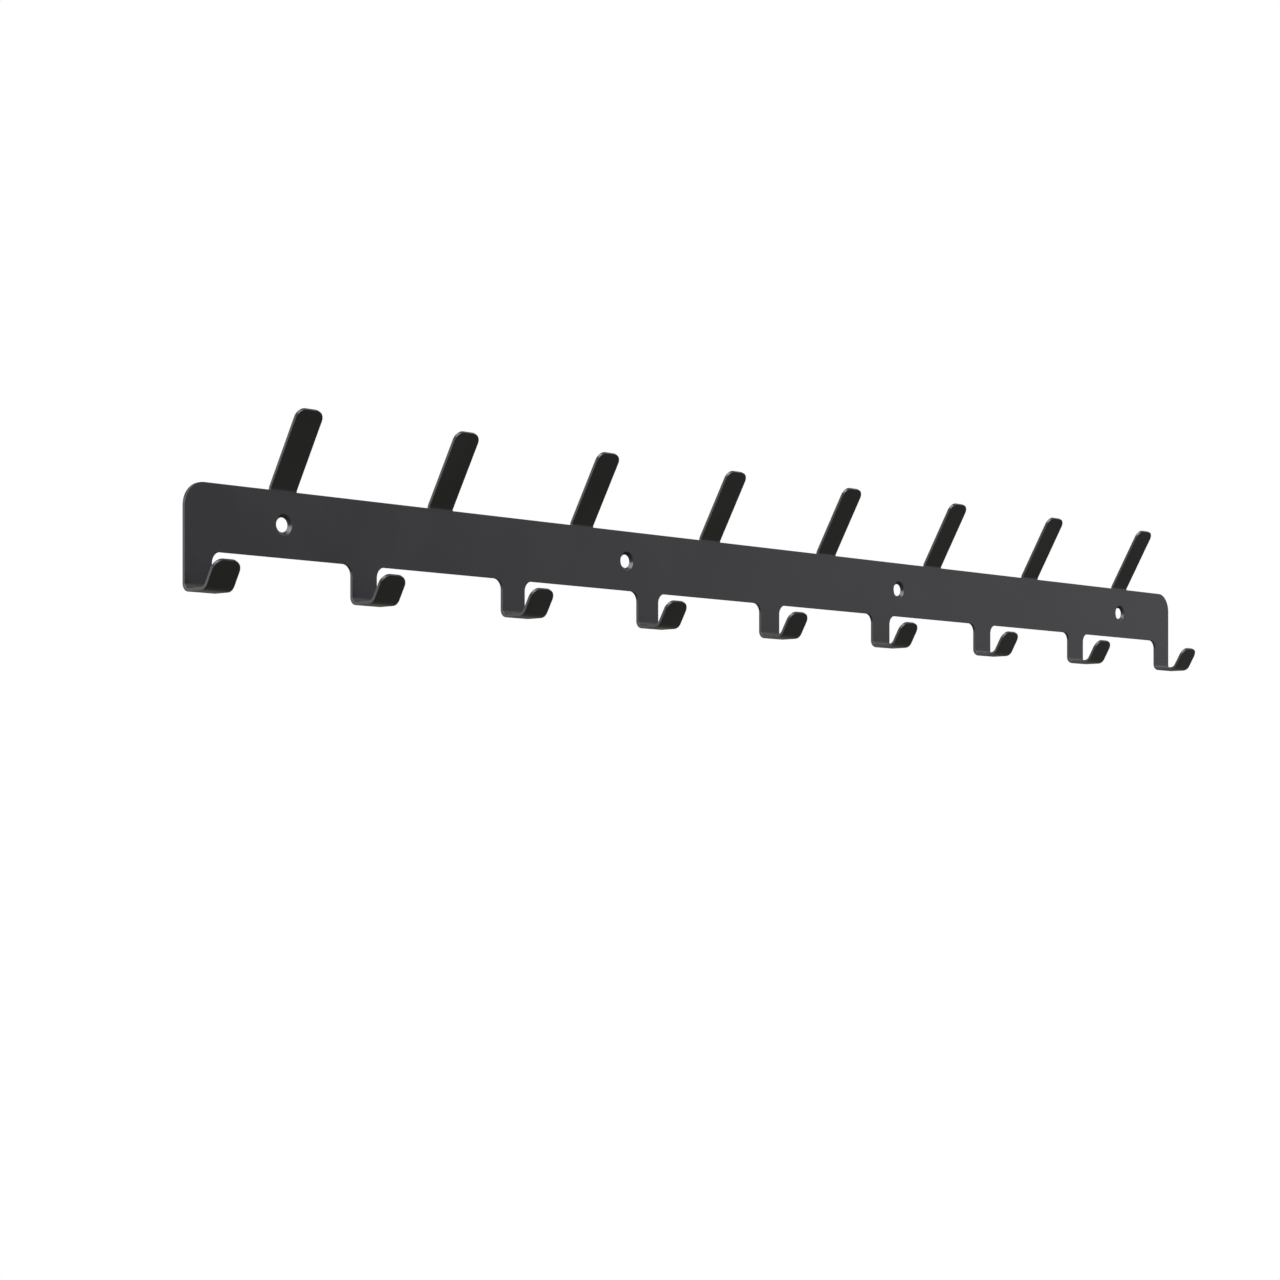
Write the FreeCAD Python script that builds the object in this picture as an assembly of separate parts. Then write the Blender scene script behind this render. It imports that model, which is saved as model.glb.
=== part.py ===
import FreeCAD, Part
import os

# Wall rail folded from one sheet of steel, in millimetres.
# X runs along the rail, the wall is the plane Y = 0 with the room towards -Y, and +Z is up.
# The origin is on the wall face, at the middle of the line of screw holes.
# The sheet is divided where a hook or a peg leaves the plate, so that each is a node of its own.

# Driving dimensions
overall_length = 1000.0
hook_count = 9
peg_count = hook_count - 1
strip_width = 19.25  # hooks and pegs are cut to one width
sheet = 2.0
edge_round = 0.2  # what deburring and the coating leave on a cut edge

plate_height = 38.0
plate_corner = 13.8
hook_fillet = 6.3  # between a hook and the underside of the plate

hook_drop = 61.7  # from the top edge of the plate to the underside of a hook
hook_bend = 3.0  # inside radius where the floor of a hook turns out from the wall
hook_floor = 10.9  # flat floor between the hook's two bends
tip_bend = 4.5  # inside radius where the tip turns up
tip_lean = 30.0  # degrees from upright, away from the wall
tip_length = 15.0
tip_corner = 6.4

peg_bend = 3.0
peg_lean = 30.0
peg_length = 48.4
peg_corner = 5.8

screw_count = 4
screw_hole = 8.4
countersink = 12.1  # the mouth of a 90 degree cone

# Places worked out from them
pitch = (overall_length - strip_width) / (hook_count - 1)
left_end = -overall_length / 2
plate_top = plate_height / 2
plate_bottom = -plate_height / 2
hook_top = plate_bottom - hook_fillet  # a hook's node begins where its fillets end
hook_bottom = plate_top - hook_drop
first_screw_x = left_end + (pitch + strip_width) / 2  # below the middle of the first peg
screw_pitch = -2 * first_screw_x / (screw_count - 1)
countersink_depth = (countersink - screw_hole) / 2
spare = 4.0  # extra length that is modelled at a dividing line and then trimmed off
close = 1e-4


def vec(x, y, z):
    return FreeCAD.Vector(x, y, z)


def hook_left(index):
    return left_end + index * pitch


def peg_left(index):
    return hook_left(index) + pitch / 2


def box(left, right, bottom, top):
    """A piece of flat sheet against the wall."""
    return Part.makeBox(right - left, sheet, top - bottom, vec(left, -sheet, bottom))


def turned(point, centre, degrees):
    """The point turned about an axis along X through centre."""
    rotation = FreeCAD.Rotation(vec(1, 0, 0), degrees)
    return centre + rotation.multVec(point - centre)


def folded_strip(start_z, upward, moves):
    """A strip of sheet that starts flat on the wall and turns into the room at each bend.

    A move is a pair: a straight length and 0, or an inside bend radius and its angle in degrees.
    """
    turn = 1 if upward else -1
    heading = vec(0, 0, turn)
    room_side = vec(0, -1, 0)
    wall_point = vec(0, 0, start_z)
    wall_edges = []
    room_edges = []
    root = Part.makeLine(wall_point, wall_point + room_side * sheet)
    for size, angle in moves:
        room_point = wall_point + room_side * sheet
        if angle == 0:
            next_wall = wall_point + heading * size
            next_room = room_point + heading * size
            wall_edges.append(Part.makeLine(wall_point, next_wall))
            room_edges.append(Part.makeLine(room_point, next_room))
        else:
            centre = room_point + room_side * size
            next_wall = turned(wall_point, centre, turn * angle)
            next_room = turned(room_point, centre, turn * angle)
            wall_middle = turned(wall_point, centre, turn * angle / 2)
            room_middle = turned(room_point, centre, turn * angle / 2)
            wall_edges.append(Part.Arc(wall_point, wall_middle, next_wall).toShape())
            room_edges.append(Part.Arc(room_point, room_middle, next_room).toShape())
            heading = turned(heading, vec(0, 0, 0), turn * angle)
            room_side = turned(room_side, vec(0, 0, 0), turn * angle)
        wall_point = next_wall
    tip = Part.makeLine(wall_point, wall_point + room_side * sheet)
    outline = [root] + wall_edges + [tip] + room_edges[::-1]
    profile = Part.Face(Part.Wire(outline))
    return profile.extrude(vec(strip_width, 0, 0)), tip


def on_end(edge, end):
    """Whether an edge lies across the sheet at the given end line of the profile."""
    first, last = [vertex.Point for vertex in end.Vertexes]
    ends = [vec(0, vertex.Point.y, vertex.Point.z) for vertex in edge.Vertexes]
    if len(ends) != 2 or abs(edge.Length - sheet) > close:
        return False
    forward = ends[0].isEqual(first, close) and ends[1].isEqual(last, close)
    backward = ends[1].isEqual(first, close) and ends[0].isEqual(last, close)
    return forward or backward


def soften_strip(strip, start_z):
    """Round the cut edges all round the strip, from its root up one side and down the other."""
    cut_edges = []
    for edge in strip.Edges:
        at_root = all(abs(vertex.Z - start_z) < close for vertex in edge.Vertexes)
        at_side = all(
            min(abs(vertex.X), abs(vertex.X - strip_width)) < close for vertex in edge.Vertexes
        )
        along = abs(edge.Length - sheet) > close
        if at_side and along and not at_root:
            cut_edges.append(edge)
    return strip.makeFillet(edge_round, cut_edges)


def strip_node(start_z, upward, moves, corner):
    """One hook or peg with rounded tip corners, standing between X = 0 and X = strip_width."""
    strip, tip = folded_strip(start_z, upward, moves)
    tip_edges = [edge for edge in strip.Edges if on_end(edge, tip)]
    strip = strip.makeFillet(corner, tip_edges)
    return soften_strip(strip, start_z)


def hook():
    floor_height = hook_bottom + sheet + hook_bend
    moves = [
        (hook_top - floor_height, 0),
        (hook_bend, 90),
        (hook_floor, 0),
        (tip_bend, 90 - tip_lean),
        (tip_length, 0),
    ]
    return strip_node(hook_top, False, moves, tip_corner)


def peg():
    moves = [
        (peg_bend, peg_lean),
        (peg_length, 0),
    ]
    return strip_node(plate_top, True, moves, peg_corner)


def cross_edges(shape, places):
    """The edges that run through the sheet's thickness at the given (x, z) places."""
    chosen = []
    for edge in shape.Edges:
        x = edge.CenterOfMass.x
        z = edge.CenterOfMass.z
        if abs(edge.Length - sheet) > close:
            continue
        if any(abs(x - place[0]) < close and abs(z - place[1]) < close for place in places):
            chosen.append(edge)
    return chosen


def soften_plate(plate):
    """Round the cut edges of the plate's outline, on the wall face and on the room face."""
    spare_ends = (hook_top - spare, plate_top + spare)
    cut_edges = []
    for edge in plate.Edges:
        points = [vertex.Point for vertex in edge.Vertexes]
        on_face = all(abs(point.y) < close for point in points)
        on_face = on_face or all(abs(point.y + sheet) < close for point in points)
        at_spare = any(
            all(abs(point.z - end) < close for point in points) for end in spare_ends
        )
        if on_face and not at_spare:
            cut_edges.append(edge)
    return plate.makeFillet(edge_round, cut_edges)


def drill(plate, x):
    """One countersunk screw hole, its wide mouth towards the room."""
    towards_wall = vec(0, 1, 0)
    bore = Part.makeCylinder(screw_hole / 2, 3 * sheet, vec(x, -2 * sheet, 0), towards_wall)
    cone = Part.makeCone(
        countersink / 2, screw_hole / 2, countersink_depth, vec(x, -sheet, 0), towards_wall
    )
    return plate.cut(bore).cut(cone)


def back_plate():
    pieces = [box(left_end, -left_end, plate_bottom, plate_top)]
    for index in range(hook_count):
        left = hook_left(index)
        pieces.append(box(left, left + strip_width, hook_top - spare, plate_top - plate_corner))
    for index in range(peg_count):
        left = peg_left(index)
        pieces.append(box(left, left + strip_width, plate_bottom, plate_top + spare))
    plate = pieces[0].multiFuse(pieces[1:]).removeSplitter()
    top_corners = [(left_end, plate_top), (-left_end, plate_top)]
    plate = plate.makeFillet(plate_corner, cross_edges(plate, top_corners))
    inner_corners = []
    for index in range(hook_count - 1):
        inner_corners.append((hook_left(index) + strip_width, plate_bottom))
        inner_corners.append((hook_left(index + 1), plate_bottom))
    plate = plate.makeFillet(hook_fillet, cross_edges(plate, inner_corners))
    plate = soften_plate(plate)
    plate = plate.common(box(left_end, -left_end, hook_top, plate_top))
    for index in range(screw_count):
        plate = drill(plate, first_screw_x + index * screw_pitch)
    return plate


def write(name, shape):
    shape.exportStep(os.path.join("parts", name + ".step"))


def main():
    os.makedirs("parts", exist_ok=True)
    write("back_plate", back_plate())
    one_hook = hook()
    for index in range(hook_count):
        write(f"coat_hook_{index + 1}", one_hook.translated(vec(hook_left(index), 0, 0)))
    one_peg = peg()
    for index in range(peg_count):
        write(f"hat_peg_{index + 1}", one_peg.translated(vec(peg_left(index), 0, 0)))


main()
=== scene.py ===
import math

import bmesh
import bpy
from mathutils import Matrix, Vector


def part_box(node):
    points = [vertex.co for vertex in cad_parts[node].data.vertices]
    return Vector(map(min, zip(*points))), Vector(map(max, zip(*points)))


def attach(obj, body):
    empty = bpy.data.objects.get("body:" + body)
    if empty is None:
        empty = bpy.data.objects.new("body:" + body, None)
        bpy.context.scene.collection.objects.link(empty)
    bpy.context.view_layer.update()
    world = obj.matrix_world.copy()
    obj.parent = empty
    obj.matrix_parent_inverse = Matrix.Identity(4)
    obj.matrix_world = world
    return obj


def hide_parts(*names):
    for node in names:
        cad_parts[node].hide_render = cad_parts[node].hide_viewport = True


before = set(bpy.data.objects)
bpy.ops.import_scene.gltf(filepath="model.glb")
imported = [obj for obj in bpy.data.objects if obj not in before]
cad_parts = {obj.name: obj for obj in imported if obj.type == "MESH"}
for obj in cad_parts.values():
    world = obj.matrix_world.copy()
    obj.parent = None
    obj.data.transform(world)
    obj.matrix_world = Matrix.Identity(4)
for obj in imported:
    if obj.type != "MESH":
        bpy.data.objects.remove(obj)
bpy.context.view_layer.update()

# Metres throughout. X runs along the rail, the room is towards -Y, the wall is Y = 0, +Z is up.
MM = 0.001

# ---------------------------------------------------------------------------------------------
# Sizes: what the frame says, then the sheet-metal worker's own radii
# ---------------------------------------------------------------------------------------------

hook_nodes = sorted(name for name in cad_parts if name.startswith("coat_hook"))
peg_nodes = sorted(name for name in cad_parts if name.startswith("hat_peg"))
plate_low, plate_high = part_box("back_plate")
hook_low, hook_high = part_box(hook_nodes[0])

sheet = plate_high.y - plate_low.y
strip_width = hook_high.x - hook_low.x
plate_top = plate_high.z
plate_bottom = -plate_top
hook_top = plate_low.z
hook_bottom = hook_low.z
hook_fillet = plate_bottom - hook_top

plate_corner = 13.8 * MM
hook_bend = 3 * MM
hook_floor = 10.9 * MM
tip_bend = 4.5 * MM
tip_lean = math.radians(30)
tip_length = 15 * MM
tip_corner = 6.4 * MM
peg_bend = 3 * MM
peg_lean = math.radians(30)
peg_length = 48.4 * MM
peg_corner = 5.8 * MM
edge_round = 0.2 * MM
screw_hole = 8.4 * MM
countersink = 12.1 * MM
mouth_round = 0.12 * MM
screw_count = 4
spare = 4 * MM  # modelled past a dividing line, then cut away
close = 1e-6

# How finely curves are drawn: facets round each, and the turn per facet of a fold
hole_facets = 64
plate_corner_facets = 18
tip_corner_facets = 14
fillet_facets = 12
edge_facets = 3
mouth_facets = 2
fold_facet = math.radians(5)

cut_edge_turn = math.radians(60)  # edges that turn more than this are cut edges
crease_turn = math.radians(40)  # and the finished surface creases above this

# Powder coat: how far apart its patterns repeat, and how high they stand
cloud_size = 45 * MM
peel_size = 2.2 * MM
grain_size = 0.5 * MM  # really about 0.2 mm, drawn coarser so that it shows
peel_height = 0.02 * MM
grain_height = 0.006 * MM

pitch = (plate_high.x - plate_low.x - strip_width) / (len(hook_nodes) - 1)
first_screw_x = plate_low.x + (pitch + strip_width) / 2
screw_pitch = -2 * first_screw_x / (screw_count - 1)
screw_places = [first_screw_x + index * screw_pitch for index in range(screw_count)]

X_AXIS = Vector((1, 0, 0))
Y_AXIS = Vector((0, 1, 0))
Z_AXIS = Vector((0, 0, 1))


# ---------------------------------------------------------------------------------------------
# Mesh helpers
# ---------------------------------------------------------------------------------------------

def bevel(bm, edges, radius, segments):
    return bmesh.ops.bevel(
        bm, geom=edges, offset=radius, offset_type="OFFSET", segments=segments, profile=0.5,
        affect="EDGES", clamp_overlap=False, material=-1,
    )["faces"]


def new_sheet():
    """An empty bmesh that can say, face by face, where the coat is thin and a painted highlight
    lightens it.
    """
    bm = bmesh.new()
    bm.faces.layers.float.new("thin_edge_and_highlight")
    return bm


def mark_thin_edges_and_highlight(bm, faces):
    """Powder pulls back from an edge as it melts, so the coat over a rounded edge is thin. The
    lighter colour given there is also a painted highlight along the edge.
    """
    thin = bm.faces.layers.float["thin_edge_and_highlight"]
    for face in faces:
        face[thin] = 1.0


def corner_edges(bm):
    """Edges where two square-cut faces meet."""
    return [edge for edge in bm.edges if edge.calc_face_angle(0) > cut_edge_turn]


def lies_at(edge, axis, value):
    return all(abs(vert.co[axis] - value) < close for vert in edge.verts)


def mark_creases(bm):
    """Smooth everywhere, with a sharp line wherever two faces meet at a clear angle."""
    for face in bm.faces:
        face.smooth = True
    for edge in bm.edges:
        edge.smooth = edge.calc_face_angle(math.pi) < crease_turn


def finished_piece(bm, name, nodes, material):
    """Turn the bmesh into the piece that stands for the given CAD nodes."""
    bmesh.ops.remove_doubles(bm, verts=bm.verts, dist=close)
    bmesh.ops.recalc_face_normals(bm, faces=bm.faces)
    mark_creases(bm)
    mesh = bpy.data.meshes.new(name)
    bm.to_mesh(mesh)
    bm.free()
    mesh.materials.append(material)
    piece = bpy.data.objects.new(name, mesh)
    bpy.context.scene.collection.objects.link(piece)
    normals = piece.modifiers.new("even normals", "WEIGHTED_NORMAL")
    normals.keep_sharp = True
    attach(piece, "root")
    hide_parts(*nodes)
    return piece


# ---------------------------------------------------------------------------------------------
# Folded strips: hooks and pegs
# ---------------------------------------------------------------------------------------------

def folded_strip(start_z, upward, moves):
    """A strip of sheet from its flat root on the wall, through its bends, to a square tip.

    A move is a pair: a straight length and 0, or an inside bend radius and its angle.
    """
    turn = 1 if upward else -1
    bm = new_sheet()
    root = [
        bm.verts.new((0, 0, start_z)),
        bm.verts.new((strip_width, 0, start_z)),
        bm.verts.new((strip_width, -sheet, start_z)),
        bm.verts.new((0, -sheet, start_z)),
    ]
    end = bm.faces.new(root)
    heading = turn * Z_AXIS
    room_side = -Y_AXIS
    wall_point = Vector((0, 0, start_z))
    for size, angle in moves:
        grown = list(end.verts) + list(end.edges) + [end]
        if angle == 0:
            result = bmesh.ops.extrude_face_region(bm, geom=grown)["geom"]
            moved = [item for item in result if isinstance(item, bmesh.types.BMVert)]
            bmesh.ops.translate(bm, verts=moved, vec=heading * size)
            wall_point = wall_point + heading * size
        else:
            centre = wall_point + room_side * (sheet + size)
            steps = max(4, round(angle / fold_facet))
            result = bmesh.ops.spin(
                bm, geom=grown, cent=centre, axis=X_AXIS, angle=turn * angle, steps=steps,
                use_duplicate=False,
            )["geom_last"]
            turning = Matrix.Rotation(turn * angle, 3, "X")
            wall_point = centre + turning @ (wall_point - centre)
            heading = turning @ heading
            room_side = turning @ room_side
        end = next(item for item in result if isinstance(item, bmesh.types.BMFace))
    return bm, end


def strip_piece(name, node, start_z, upward, moves, corner, material):
    """One hook or peg: folded, its tip corners rounded, every cut edge softened."""
    bm, end = folded_strip(start_z, upward, moves)
    end_edges = [edge for edge in end.edges if edge.calc_length() < 2 * sheet]
    bmesh.ops.recalc_face_normals(bm, faces=bm.faces)
    bevel(bm, end_edges, corner, tip_corner_facets)
    cut_edges = [edge for edge in corner_edges(bm) if not lies_at(edge, 2, start_z)]
    # Rounded cut edges: thin coat, and a painted highlight in a lighter colour.
    mark_thin_edges_and_highlight(bm, bevel(bm, cut_edges, edge_round, edge_facets))
    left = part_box(node)[0].x
    bmesh.ops.translate(bm, verts=bm.verts, vec=X_AXIS * left)
    return finished_piece(bm, name, [node], material)


# ---------------------------------------------------------------------------------------------
# Back plate
# ---------------------------------------------------------------------------------------------

def plate_outline():
    """Square-cornered outline in X and Z, anticlockwise from the lower left, with spare stubs."""
    points = []
    for index in range(len(hook_nodes)):
        left = plate_low.x + index * pitch
        points += [(left, plate_bottom), (left, hook_top - spare)]
        points += [(left + strip_width, hook_top - spare), (left + strip_width, plate_bottom)]
    points = points[1:-1]
    points.append((plate_high.x, plate_top))
    for index in reversed(range(len(peg_nodes))):
        left = plate_low.x + (index + 0.5) * pitch
        points += [(left + strip_width, plate_top), (left + strip_width, plate_top + spare)]
        points += [(left, plate_top + spare), (left, plate_top)]
    points.append((plate_low.x, plate_top))
    return points


def cross_edges(bm, places):
    """Edges that run through the sheet at the given (x, z) places."""
    chosen = []
    for edge in bm.edges:
        first, last = [vert.co for vert in edge.verts]
        if abs(first.y - last.y) < sheet / 2:
            continue
        if any(abs(first.x - x) < close and abs(first.z - z) < close for x, z in places):
            chosen.append(edge)
    return chosen


def cut_off(bm, height, normal):
    """Cut the solid level at a height, and close the cut, on the side that normal points to."""
    geometry = list(bm.verts) + list(bm.edges) + list(bm.faces)
    result = bmesh.ops.bisect_plane(
        bm, geom=geometry, dist=close, plane_co=Z_AXIS * height, plane_no=normal,
        clear_outer=True,
    )["geom_cut"]
    rim = [item for item in result if isinstance(item, bmesh.types.BMEdge)]
    bmesh.ops.holes_fill(bm, edges=rim, sides=0)


def divide(bm, x):
    """Run a line of edges round the solid at x, so that its broad faces stay short."""
    geometry = list(bm.verts) + list(bm.edges) + list(bm.faces)
    bmesh.ops.bisect_plane(
        bm, geom=geometry, dist=close, plane_co=X_AXIS * x, plane_no=X_AXIS,
    )


def open_square(bm, x, y):
    """Cut a square window out of the broad face round a screw hole."""
    def broad_face():
        for face in bm.faces:
            across = [vert.co.x for vert in face.verts]
            up = [vert.co.z for vert in face.verts]
            flat = all(abs(vert.co.y - y) < close for vert in face.verts)
            if flat and min(across) < x < max(across) and min(up) < 0 < max(up):
                return face

    for height in (-countersink, countersink):
        face = broad_face()
        geometry = [face] + list(face.edges) + list(face.verts)
        bmesh.ops.bisect_plane(
            bm, geom=geometry, dist=close, plane_co=Z_AXIS * height, plane_no=Z_AXIS,
        )
    bmesh.ops.delete(bm, geom=[broad_face()], context="FACES_ONLY")


def screw_hole_at(bm, x):
    """Countersunk hole, spun from its section: flat rim, cone, short straight land, flat rim."""
    land = (countersink - screw_hole) / 2 - sheet
    section = [
        (countersink / 2 + MM, -sheet),
        (countersink / 2, -sheet),
        (screw_hole / 2, land),
        (screw_hole / 2, 0),
        (screw_hole / 2 + MM, 0),
    ]
    open_square(bm, x, -sheet)
    open_square(bm, x, 0)
    verts = [bm.verts.new((x + radius, y, 0)) for radius, y in section]
    edges = [bm.edges.new(pair) for pair in zip(verts, verts[1:])]
    bmesh.ops.spin(
        bm, geom=verts + edges, cent=X_AXIS * x, axis=Y_AXIS, angle=math.tau, steps=hole_facets,
        use_merge=True, use_duplicate=False,
    )
    for y in (-sheet, 0):
        rims = [edge for edge in bm.edges if edge.is_boundary and lies_at(edge, 1, y)]
        bmesh.ops.triangle_fill(bm, edges=rims, use_beauty=True)

    def on_mouth(vert):
        return abs(math.hypot(vert.co.x - x, vert.co.z) - countersink / 2) < close
    mouth = [edge for edge in bm.edges if all(on_mouth(vert) for vert in edge.verts)]
    # The countersink mouth: thin coat, and a painted highlight in a lighter colour.
    mark_thin_edges_and_highlight(bm, bevel(bm, mouth, mouth_round, mouth_facets))


def back_plate(material):
    """The flat plate: cut to outline, its edges rounded, its stubs trimmed, then drilled."""
    bm = new_sheet()
    corners = [bm.verts.new((x, -sheet, z)) for x, z in plate_outline()]
    front = bm.faces.new(corners)
    grown = bmesh.ops.extrude_face_region(bm, geom=[front])["geom"]
    moved = [item for item in grown if isinstance(item, bmesh.types.BMVert)]
    bmesh.ops.translate(bm, verts=moved, vec=Y_AXIS * sheet)
    bmesh.ops.recalc_face_normals(bm, faces=bm.faces)

    top_corners = [(plate_low.x, plate_top), (plate_high.x, plate_top)]
    bevel(bm, cross_edges(bm, top_corners), plate_corner, plate_corner_facets)
    inner_corners = []
    for index in range(len(hook_nodes) - 1):
        left = plate_low.x + index * pitch
        inner_corners.append((left + strip_width, plate_bottom))
        inner_corners.append((left + pitch, plate_bottom))
    bevel(bm, cross_edges(bm, inner_corners), hook_fillet, fillet_facets)

    def on_broad_face(edge):
        return lies_at(edge, 1, 0) or lies_at(edge, 1, -sheet)
    broad_edges = [edge for edge in bm.edges if on_broad_face(edge)]
    # Rounded broad edges: thin coat, and a painted highlight in a lighter colour.
    mark_thin_edges_and_highlight(bm, bevel(bm, broad_edges, edge_round, edge_facets))
    cut_off(bm, plate_top, Z_AXIS)
    cut_off(bm, hook_top, -Z_AXIS)

    for x in screw_places:
        divide(bm, x - countersink)
        divide(bm, x + countersink)
    for index in range(1, len(hook_nodes) - 1):
        divide(bm, plate_low.x + index * pitch + strip_width / 2)
    for x in screw_places:
        screw_hole_at(bm, x)
    return finished_piece(bm, "back_plate_sheet", ["back_plate"], material)


# ---------------------------------------------------------------------------------------------
# Materials
# ---------------------------------------------------------------------------------------------

# Some inputs share one name between several kinds of value, so these are picked by number.
MIX_FIRST_COLOUR = 6
MIX_SECOND_COLOUR = 7
MIX_COLOUR_RESULT = 2
RANGE_FROM_LOW = 7
RANGE_FROM_HIGH = 8
RANGE_TO_LOW = 9
RANGE_TO_HIGH = 10

# Noise stays between these two values nearly everywhere.
noise_low = 0.3
noise_high = 0.7


def linear(hex_colour):
    """Linear RGBA from an sRGB hex colour."""
    channels = [int(hex_colour[start:start + 2], 16) / 255 for start in (1, 3, 5)]
    low = [value / 12.92 for value in channels]
    high = [((value + 0.055) / 1.055) ** 2.4 for value in channels]
    return [a if value <= 0.04045 else b for value, a, b in zip(channels, low, high)] + [1.0]


def add_node(tree, kind, settings=None, links=None, name=None):
    """Add a node, set its properties and unlinked inputs, and link its other inputs."""
    node = tree.nodes.new(kind)
    if name:
        node.label = name
    for key, value in (settings or {}).items():
        if key in node.inputs:
            node.inputs[key].default_value = value
        else:
            setattr(node, key, value)
    for key, source in (links or {}).items():
        tree.links.new(source, node.inputs[key])
    return node


def powder_coat():
    """Black polyester powder coat, baked on sheet steel.

    The powder is sprayed on dry and flows together in the oven. It leaves a deep black satin
    skin, with the slow swell called orange peel, a fine grain on top, and a sheen that grows
    where the surface turns away from the eye. The skin pulls thin over each rounded edge, and
    is painted lighter there: a painted highlight along every rounded edge.
    """
    material = bpy.data.materials.new("black powder coat")
    material.use_nodes = True
    tree = material.node_tree
    tree.nodes.clear()
    place = add_node(tree, "ShaderNodeTexCoord").outputs["Object"]
    # The edge mark: where the coat is thin, and where a painted highlight lightens the rounded
    # edges.
    thin = add_node(tree, "ShaderNodeAttribute", {"attribute_name": "thin_edge_and_highlight"}).outputs["Fac"]

    clouds = add_node(tree, "ShaderNodeTexNoise", {
        "Scale": 1 / cloud_size, "Detail": 2.0, "Roughness": 0.5,
    }, {"Vector": place}, "uneven powder").outputs["Fac"]
    swell = add_node(tree, "ShaderNodeTexNoise", {
        "Scale": 1 / peel_size, "Detail": 1.0, "Roughness": 0.4,
    }, {"Vector": place}, "orange peel").outputs["Fac"]
    grain = add_node(tree, "ShaderNodeTexNoise", {
        "Scale": 1 / grain_size, "Detail": 2.0, "Roughness": 0.6,
    }, {"Vector": place}, "grain").outputs["Fac"]

    skin_colour = add_node(tree, "ShaderNodeValToRGB", links={"Fac": clouds}, name="black skin")
    skin_colour.color_ramp.elements[0].position = noise_low
    skin_colour.color_ramp.elements[0].color = linear("#171718")
    skin_colour.color_ramp.elements[1].position = noise_high
    skin_colour.color_ramp.elements[1].color = linear("#1e1e1f")
    # Lighter over rounded edges: the coat is thin there, and the lighter colour is a painted
    # highlight.
    colour = add_node(tree, "ShaderNodeMix", {
        "data_type": "RGBA", "blend_type": "MIX",
    }, name="thin coat and painted highlight over edges")
    tree.links.new(thin, colour.inputs["Factor"])
    tree.links.new(skin_colour.outputs["Color"], colour.inputs[MIX_FIRST_COLOUR])
    # The edge colour: a painted highlight as well as the thin coat.
    colour.inputs[MIX_SECOND_COLOUR].default_value = linear("#2a2a2b")

    skin_gloss = add_node(tree, "ShaderNodeMapRange", {
        "From Min": noise_low, "From Max": noise_high, "To Min": 0.27, "To Max": 0.35,
    }, {"Value": clouds}, "satin gloss").outputs["Result"]
    gloss = add_node(tree, "ShaderNodeMath", {"operation": "ADD"}, name="grain in the gloss")
    fine = add_node(tree, "ShaderNodeMapRange", {
        "From Min": noise_low, "From Max": noise_high, "To Min": -0.03, "To Max": 0.03,
    }, {"Value": grain}).outputs["Result"]
    tree.links.new(skin_gloss, gloss.inputs[0])
    tree.links.new(fine, gloss.inputs[1])

    peel_bump = add_node(tree, "ShaderNodeBump", {
        "Strength": 1.0, "Distance": peel_height,
    }, {"Height": swell}, "orange peel swell")
    grain_bump = add_node(tree, "ShaderNodeBump", {
        "Strength": 1.0, "Distance": grain_height,
    }, {"Height": grain, "Normal": peel_bump.outputs["Normal"]}, "grain on top")

    shader = add_node(tree, "ShaderNodeBsdfPrincipled", {
        "Metallic": 0.0, "IOR": 1.5,
    }, {
        "Base Color": colour.outputs[MIX_COLOUR_RESULT], "Roughness": gloss.outputs["Value"],
        "Normal": grain_bump.outputs["Normal"],
    })
    add_node(tree, "ShaderNodeOutputMaterial", links={"Surface": shader.outputs["BSDF"]})
    return material


# ---------------------------------------------------------------------------------------------
# Pieces
# ---------------------------------------------------------------------------------------------

coat = powder_coat()
back_plate(coat)

stem_length = hook_top - (hook_bottom + sheet + hook_bend)
hook_moves = [
    (stem_length, 0),
    (hook_bend, math.radians(90)),
    (hook_floor, 0),
    (tip_bend, math.radians(90) - tip_lean),
    (tip_length, 0),
]
for node in hook_nodes:
    strip_piece(node + "_sheet", node, hook_top, False, hook_moves, tip_corner, coat)

peg_moves = [(peg_bend, peg_lean), (peg_length, 0)]
for node in peg_nodes:
    strip_piece(node + "_sheet", node, plate_top, True, peg_moves, peg_corner, coat)


# ---------------------------------------------------------------------------------------------
# Studio
# ---------------------------------------------------------------------------------------------

floor_height = -1.4
floor_size = 6.0  # from its middle to each side
fade_start = 1.5

# The walls' light, from below and from above, and how softly one passes into the other
light_below = (0.200, 0.200, 0.170)
light_above = (0.185, 0.185, 0.200)
horizon_blur = 0.35


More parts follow.
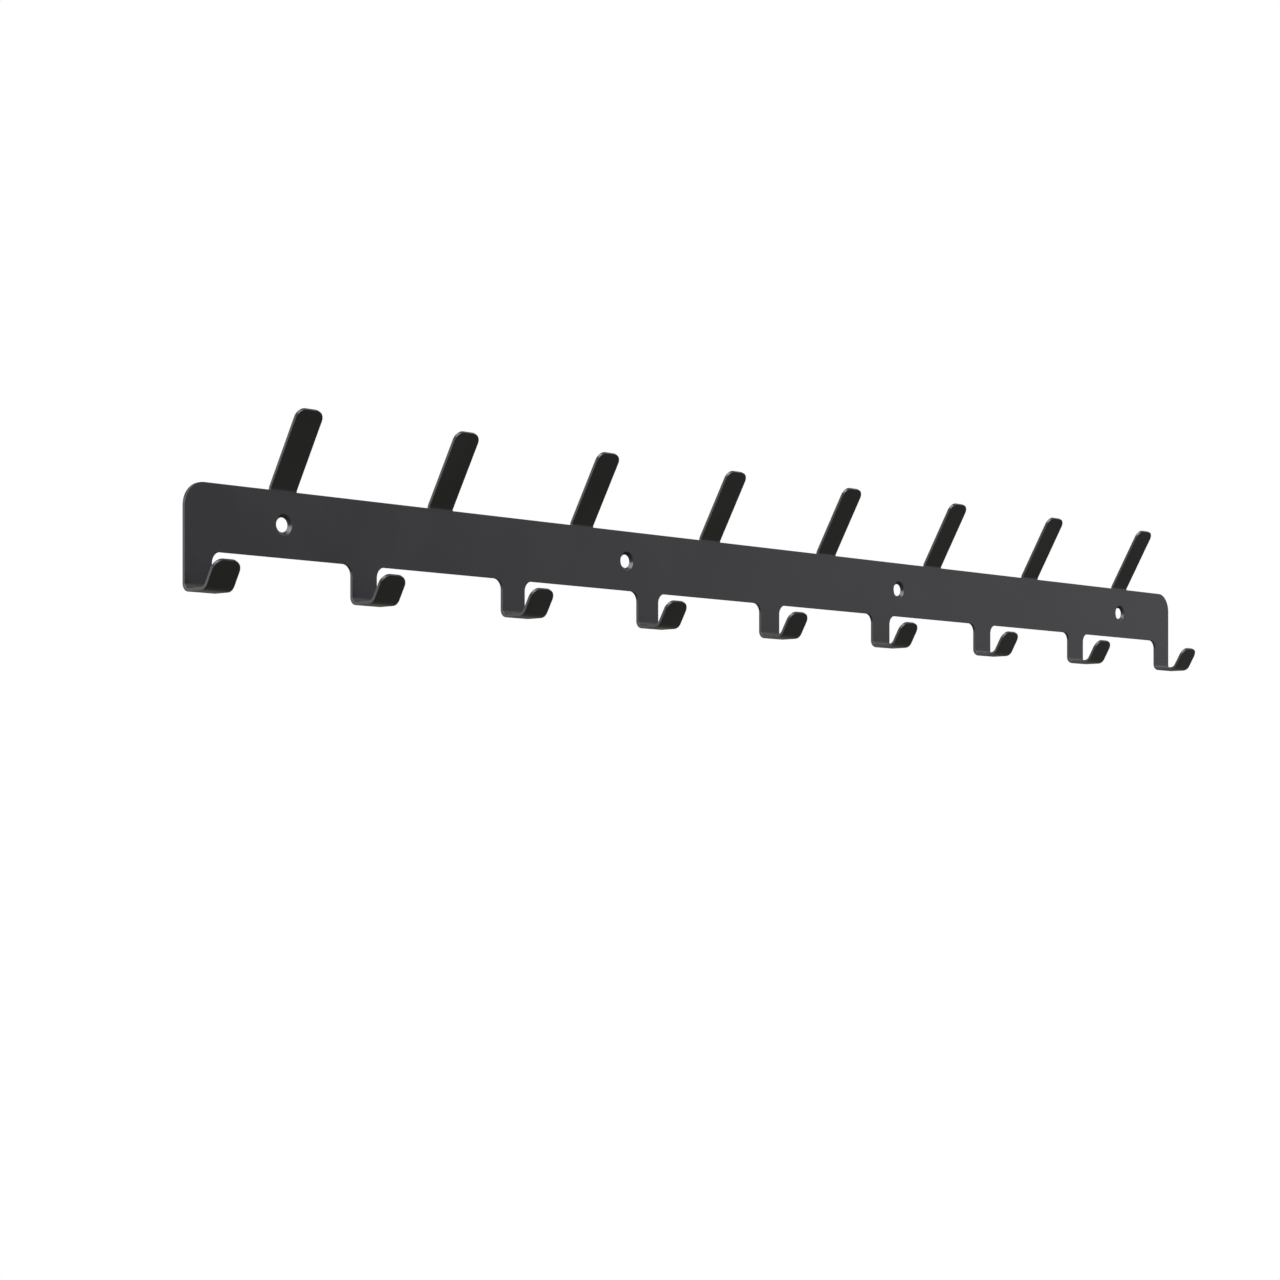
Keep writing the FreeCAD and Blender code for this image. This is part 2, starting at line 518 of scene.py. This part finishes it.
def pale_floor():
    """Matt pale grey, which fades out towards its rim so that no edge shows against the walls."""
    material = bpy.data.materials.new("pale floor")
    material.use_nodes = True
    tree = material.node_tree
    tree.nodes.clear()
    place = add_node(tree, "ShaderNodeTexCoord").outputs["Object"]
    distance = add_node(tree, "ShaderNodeVectorMath", {"operation": "LENGTH"}, {"Vector": place})
    fade = add_node(tree, "ShaderNodeMapRange", {
        "interpolation_type": "SMOOTHSTEP", "From Min": fade_start, "From Max": floor_size,
    }, {"Value": distance.outputs["Value"]}, "fade to the rim").outputs["Result"]
    paint = add_node(tree, "ShaderNodeBsdfPrincipled", {
        "Base Color": linear("#e6e6e6"), "Roughness": 0.8,
    })
    clear = add_node(tree, "ShaderNodeBsdfTransparent")
    mix = add_node(tree, "ShaderNodeMixShader", links={"Fac": fade})
    tree.links.new(paint.outputs["BSDF"], mix.inputs[1])
    tree.links.new(clear.outputs["BSDF"], mix.inputs[2])
    add_node(tree, "ShaderNodeOutputMaterial", links={"Surface": mix.outputs["Shader"]})
    return material


def studio_floor():
    """The floor: seen by the camera, but neither reflected in the rail nor lighting it."""
    mesh = bpy.data.meshes.new("studio_floor")
    bm = bmesh.new()
    bmesh.ops.create_grid(bm, x_segments=1, y_segments=1, size=floor_size)
    bmesh.ops.translate(bm, verts=bm.verts, vec=(0, 0, floor_height))
    bm.to_mesh(mesh)
    bm.free()
    floor = bpy.data.objects.new("studio_floor", mesh)
    bpy.context.scene.collection.objects.link(floor)
    floor.visible_diffuse = False
    floor.visible_glossy = False
    mesh.materials.append(pale_floor())


def soft_light(name, place, size, watts, colour=(1, 1, 1)):
    """A round soft box that faces the middle of the rail."""
    data = bpy.data.lights.new(name, "AREA")
    data.shape = "DISK"
    data.size = size
    data.energy = watts
    data.color = colour
    lamp = bpy.data.objects.new(name, data)
    lamp.location = place
    lamp.rotation_euler = (-Vector(place)).to_track_quat("-Z", "Y").to_euler()
    lamp.visible_camera = False
    bpy.context.scene.collection.objects.link(lamp)


def studio_world():
    """Walls that look white but light the rail dimly: faintly warm below, faintly cool above."""
    world = bpy.data.worlds.new("studio")
    bpy.context.scene.world = world
    world.use_nodes = True
    tree = world.node_tree
    tree.nodes.clear()
    place = add_node(tree, "ShaderNodeTexCoord").outputs["Generated"]
    height = add_node(tree, "ShaderNodeSeparateXYZ", links={"Vector": place}).outputs["Z"]
    light = add_node(tree, "ShaderNodeMapRange", {
        "data_type": "FLOAT_VECTOR", "interpolation_type": "SMOOTHSTEP",
    }, name="low to high")
    light.inputs[RANGE_FROM_LOW].default_value = (-horizon_blur,) * 3
    light.inputs[RANGE_FROM_HIGH].default_value = (horizon_blur,) * 3
    light.inputs[RANGE_TO_LOW].default_value = light_below
    light.inputs[RANGE_TO_HIGH].default_value = light_above
    tree.links.new(height, light.inputs["Vector"])
    soft = add_node(tree, "ShaderNodeBackground", links={"Color": light.outputs["Vector"]})
    white = add_node(tree, "ShaderNodeBackground", {"Color": (1, 1, 1, 1)})
    seen = add_node(tree, "ShaderNodeLightPath").outputs["Is Camera Ray"]
    mix = add_node(tree, "ShaderNodeMixShader", links={"Fac": seen})
    tree.links.new(soft.outputs["Background"], mix.inputs[1])
    tree.links.new(white.outputs["Background"], mix.inputs[2])
    add_node(tree, "ShaderNodeOutputWorld", links={"Surface": mix.outputs["Shader"]})


def camera():
    """A level camera to the left of the rail and a little below it, shifted up to frame it."""
    data = bpy.data.cameras.new("camera")
    data.lens = 80
    data.sensor_width = 36
    data.shift_y = 0.15622
    data.clip_start = 0.05
    data.clip_end = 50
    lens = bpy.data.objects.new("camera", data)
    lens.location = (-1.48029, -1.24286, -0.17887)
    lens.rotation_euler = (math.radians(90), 0, math.radians(-47.405))
    bpy.context.scene.collection.objects.link(lens)
    bpy.context.scene.camera = lens


studio_floor()
studio_world()
# The first two reach the plate's face, and the third the cut edges that face left.
soft_light("key_light", (-2.79, -1.61, 3.83), 8.4, 1215, (0.915, 0.92, 1.0))
soft_light("fill_light", (3.0, -1.73, 2.0), 5.6, 46.5, (0.93, 0.935, 1.0))
soft_light("edge_light", (-2.35, 3.2, 0.4), 3.4, 44)
# The front one keeps the rail readable from straight ahead, and the high one reaches the
# countersinks and the inside of the hook bends.
soft_light("front_light", (-1.0, -4.2, 0.6), 3.2, 24)
soft_light("high_light", (2.6, 0.3, 2.4), 3.0, 10)
camera()
bpy.context.scene.view_settings.view_transform = "Standard"
